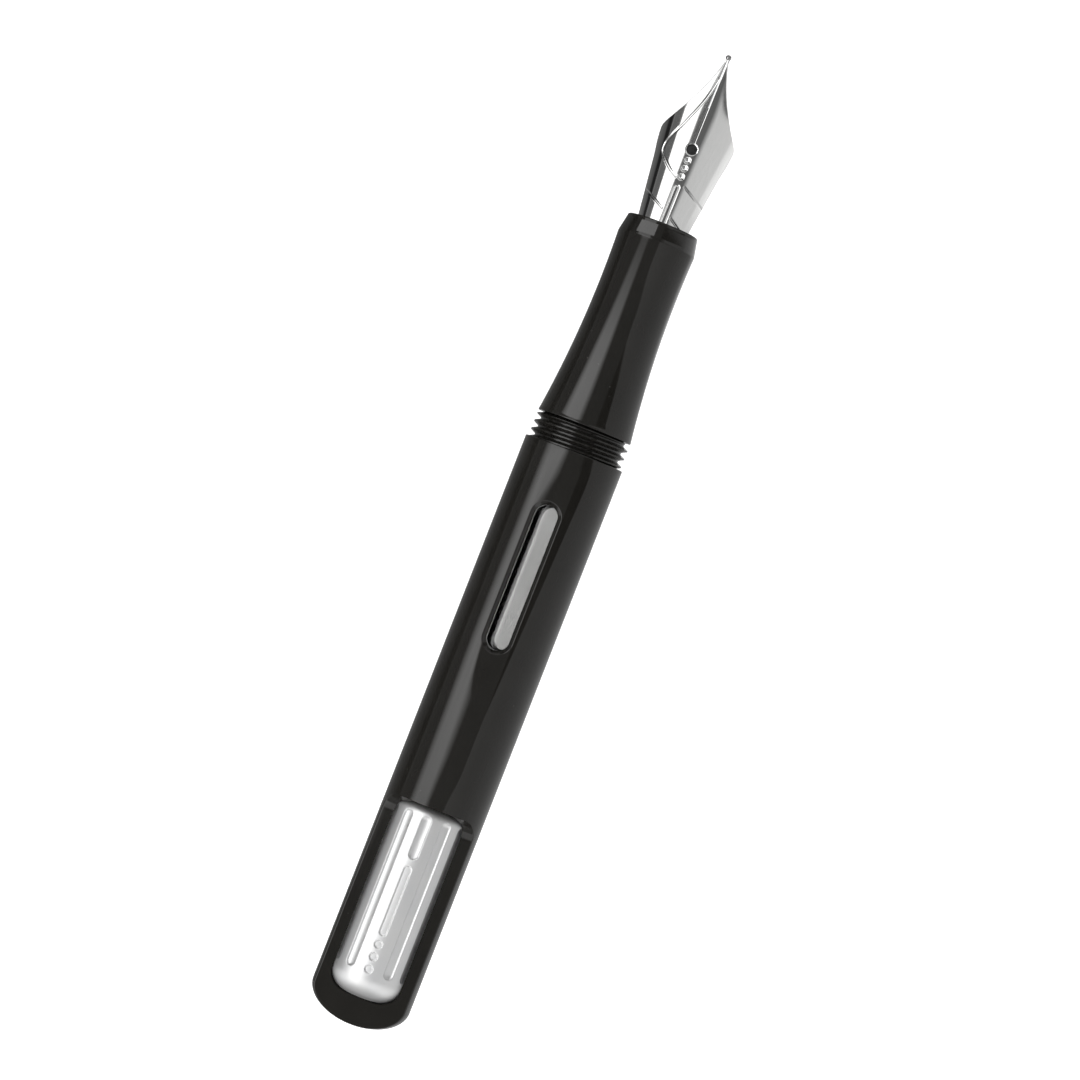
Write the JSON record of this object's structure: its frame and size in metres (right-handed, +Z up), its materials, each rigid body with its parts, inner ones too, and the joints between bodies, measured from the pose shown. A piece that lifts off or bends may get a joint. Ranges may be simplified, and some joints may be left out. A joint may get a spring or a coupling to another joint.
{
  "type": "fountain pen",
  "caption": "Uncapped fountain pen: steel nib, waisted black grip, screw-on black barrel with see-through ink windows, silver bar let into a flat at the tail, screw converter inside.",
  "frame": {"origin": "centre of the bounding box's bottom face: the barrel's lowest line, halfway along the pen", "axes": "+X along the pen toward the nib's tip, +Z up out of the nib's top face, the front ink window and the tail's silver bar, +Y to the left when looking toward the tip"},
  "size_m": [0.1266, 0.0126, 0.0126],
  "materials": {
    "black_resin": "polished black resin",
    "smoke_resin": "clear smoke resin",
    "satin_silver": "satin",
    "nib_steel": "polished steel",
    "tip_metal": "polished hard alloy",
    "feed_plastic": "satin black plastic",
    "seal_rubber": "matt",
    "black_plastic": "moulded",
    "clear_plastic": "clear moulded plastic",
    "bright_metal": "polished plated metal"
  },
  "bodies": {
    "section": {"section_shell": "black_resin", "section_o_ring": "seal_rubber", "nib": "nib_steel", "nib_tipping": "tip_metal", "feed": "feed_plastic", "nib_collar": "feed_plastic"},
    "barrel_carrier": {"window_sleeve": "smoke_resin"},
    "barrel": {"barrel": "black_resin", "tail_inlay": "satin_silver", "inlay_stud_front": "satin_silver", "inlay_stud_rear": "satin_silver"},
    "converter": {"converter_mouth": "black_plastic", "converter_tube": "clear_plastic", "converter_band": "bright_metal", "converter_guide": "black_plastic"},
    "knob": {"converter_knob": "black_plastic", "spindle": "black_plastic"},
    "piston": {"piston_rod": "black_plastic", "piston_seal": "seal_rubber"},
    "ball": {"agitator_ball": "bright_metal"}
  },
  "joints": [
    {"name": "barrel_advance", "type": "slide", "parent": "section", "child": "barrel_carrier", "axis": [-1, 0, 0], "range_m": [0, 0.0049]},
    {"name": "barrel_turn", "type": "hinge", "parent": "barrel_carrier", "child": "barrel", "pos_m": [0.0148, 0, 0.0063], "axis": [-1, 0, 0], "range_deg": [0, 1440]},
    {"name": "converter_pull", "type": "slide", "parent": "section", "child": "converter", "axis": [-1, 0, 0], "range_m": [0, 0.003]},
    {"name": "knob_turn", "type": "hinge", "parent": "converter", "child": "knob", "pos_m": [0.0148, 0, 0.0063], "axis": [1, 0, 0], "range_deg": [0, 1260]},
    {"name": "piston_slide", "type": "slide", "parent": "converter", "child": "piston", "axis": [1, 0, 0], "range_m": [0, 0.0085]},
    {"name": "ball_roll", "type": "slide", "parent": "converter", "child": "ball", "axis": [-1, 0, 0], "range_m": [0, 0.019]}
  ],
  "couplings": [
    {"joint": "barrel_advance", "follows": "barrel_turn", "m_per_rad": 0.00019099},
    {"joint": "piston_slide", "follows": "knob_turn", "m_per_rad": 0.00038197}
  ]
}
